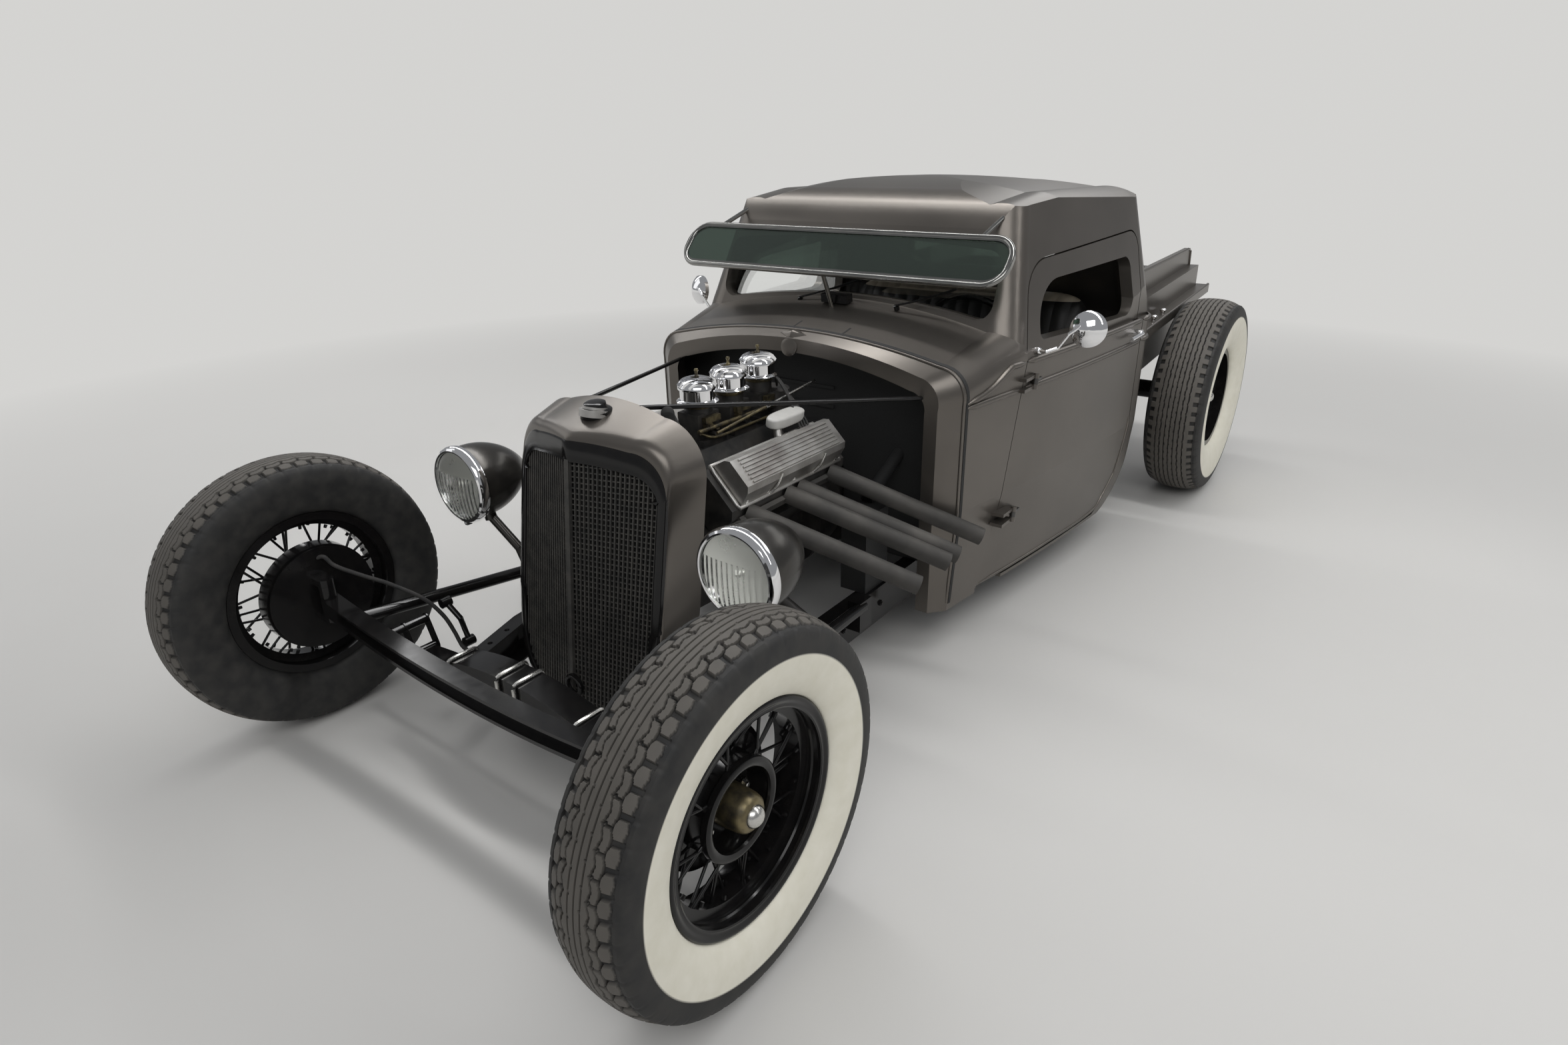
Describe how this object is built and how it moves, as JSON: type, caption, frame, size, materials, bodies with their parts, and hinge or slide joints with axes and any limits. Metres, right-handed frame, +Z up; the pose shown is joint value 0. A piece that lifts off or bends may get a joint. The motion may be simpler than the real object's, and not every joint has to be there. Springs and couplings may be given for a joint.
{
  "type": "hot rod pickup",
  "caption": "Chopped closed-cab pickup hot rod: open V engine with straight pipes, drop axle, wire front wheels, low cab channelled over rails, short bed.",
  "frame": {"origin": "centre of the footprint on the ground", "axes": "+X to the car's left, +Y to the rear, +Z up"},
  "size_m": [1.74, 4.002, 1.3278],
  "materials": {
    "body_paint": "satin metallic charcoal",
    "chassis_black": "gloss black",
    "tyre_rubber": "black rubber with a cream sidewall band",
    "chrome": "polished",
    "cast_aluminium": "cast, satin",
    "engine_iron": "satin black",
    "pipe_steel": "heat-darkened, matt",
    "lamp_glass": "clear fluted",
    "tinted_glass": "dark green tint",
    "clear_glass": "clear",
    "seat_leather": "dark pleats with beige bands",
    "black_plastic": "gloss black",
    "red_glass": "red",
    "interior_black": "satin black",
    "steel": "bare"
  },
  "bodies": {
    "car": {"air_cleaners": "chrome", "bed": "body_paint", "cab": "body_paint", "cab_floor": "interior_black", "cowl": "body_paint", "cowl_hinges": "body_paint", "crossmembers": "chassis_black", "dashboard": "interior_black", "engine": "engine_iron", "engine_drive": "engine_iron", "exhaust": "pipe_steel", "firewall": "interior_black", "frame_rails": "chassis_black", "front_axle": "chassis_black", "front_spring": "chassis_black", "fuel_tank": "chassis_black", "gate_eyes": "body_paint", "gearbox": "engine_iron", "grille": "steel", "grille_shell": "body_paint", "headlight_lenses": "lamp_glass", "headlights": "body_paint", "induction": "cast_aluminium", "ladder_bars": "chassis_black", "radiator": "cast_aluminium", "radius_rods": "chassis_black", "rear_axle": "chassis_black", "seat": "seat_leather", "stay_rods": "chassis_black", "steering_column": "interior_black", "tail_lamps": "red_glass", "valve_covers": "cast_aluminium", "visor_frame": "chrome", "visor_pane": "tinted_glass", "windshield": "clear_glass"},
    "left_knuckle": {"knuckle_left": "chassis_black"},
    "right_knuckle": {"knuckle_right": "chassis_black"},
    "steering_link": {"tie_rod": "chassis_black"},
    "left_door": {"door_left": "body_paint", "door_hardware_left": "chrome", "mirror_left": "chrome"},
    "right_door": {"door_right": "body_paint", "door_hardware_right": "chrome", "mirror_right": "chrome"},
    "gate": {"tailgate": "body_paint"},
    "helm": {"steering_wheel": "black_plastic"},
    "front_left_wheel": {"tyre_front_left": "tyre_rubber", "wheel_front_left": "chassis_black", "hub_front_left": "chassis_black"},
    "front_right_wheel": {"tyre_front_right": "tyre_rubber", "wheel_front_right": "chassis_black", "hub_front_right": "chassis_black"},
    "rear_left_wheel": {"tyre_rear_left": "tyre_rubber", "wheel_rear_left": "chassis_black", "hub_rear_left": "chassis_black"},
    "rear_right_wheel": {"tyre_rear_right": "tyre_rubber", "wheel_rear_right": "chassis_black", "hub_rear_right": "chassis_black"}
  },
  "joints": [
    {"name": "steer_left", "type": "hinge", "parent": "car", "child": "left_knuckle", "pos_m": [0.618, -1.639, 0.362], "axis": [0, 0, 1], "range_deg": [-25, 25]},
    {"name": "steer_right", "type": "hinge", "parent": "car", "child": "right_knuckle", "pos_m": [-0.618, -1.639, 0.362], "axis": [0, 0, 1], "range_deg": [-25, 25]},
    {"name": "link_pivot", "type": "hinge", "parent": "left_knuckle", "child": "steering_link", "pos_m": [0.618, -1.509, 0.168], "axis": [0, 0, 1], "range_deg": [-25, 25]},
    {"name": "roll_front_left", "type": "hinge", "parent": "left_knuckle", "child": "front_left_wheel", "pos_m": [0.738, -1.639, 0.362], "axis": [1, 0, 0], "continuous": true},
    {"name": "roll_front_right", "type": "hinge", "parent": "right_knuckle", "child": "front_right_wheel", "pos_m": [-0.738, -1.639, 0.362], "axis": [1, 0, 0], "continuous": true},
    {"name": "roll_rear_left", "type": "hinge", "parent": "car", "child": "rear_left_wheel", "pos_m": [0.76, 1.491, 0.406], "axis": [1, 0, 0], "continuous": true},
    {"name": "roll_rear_right", "type": "hinge", "parent": "car", "child": "rear_right_wheel", "pos_m": [-0.76, 1.491, 0.406], "axis": [1, 0, 0], "continuous": true},
    {"name": "open_left_door", "type": "hinge", "parent": "car", "child": "left_door", "pos_m": [0.622, -0.145, 0.379], "axis": [0, -0.2099, -0.9777], "range_deg": [0, 65]},
    {"name": "open_right_door", "type": "hinge", "parent": "car", "child": "right_door", "pos_m": [-0.622, -0.145, 0.379], "axis": [0, 0.2099, 0.9777], "range_deg": [0, 65]},
    {"name": "drop_gate", "type": "hinge", "parent": "car", "child": "gate", "pos_m": [0, 1.98628, 0.69084], "axis": [-1, 0, 0], "range_deg": [0, 90]},
    {"name": "turn_helm", "type": "hinge", "parent": "car", "child": "helm", "pos_m": [0.32, 0.136, 0.8], "axis": [0, 0.8947, 0.4467], "range_deg": [-310, 310]}
  ],
  "couplings": [
    {"joint": "steer_right", "follows": "steer_left", "ratio": 1},
    {"joint": "link_pivot", "follows": "steer_left", "ratio": -1},
    {"joint": "turn_helm", "follows": "steer_left", "ratio": 12}
  ]
}
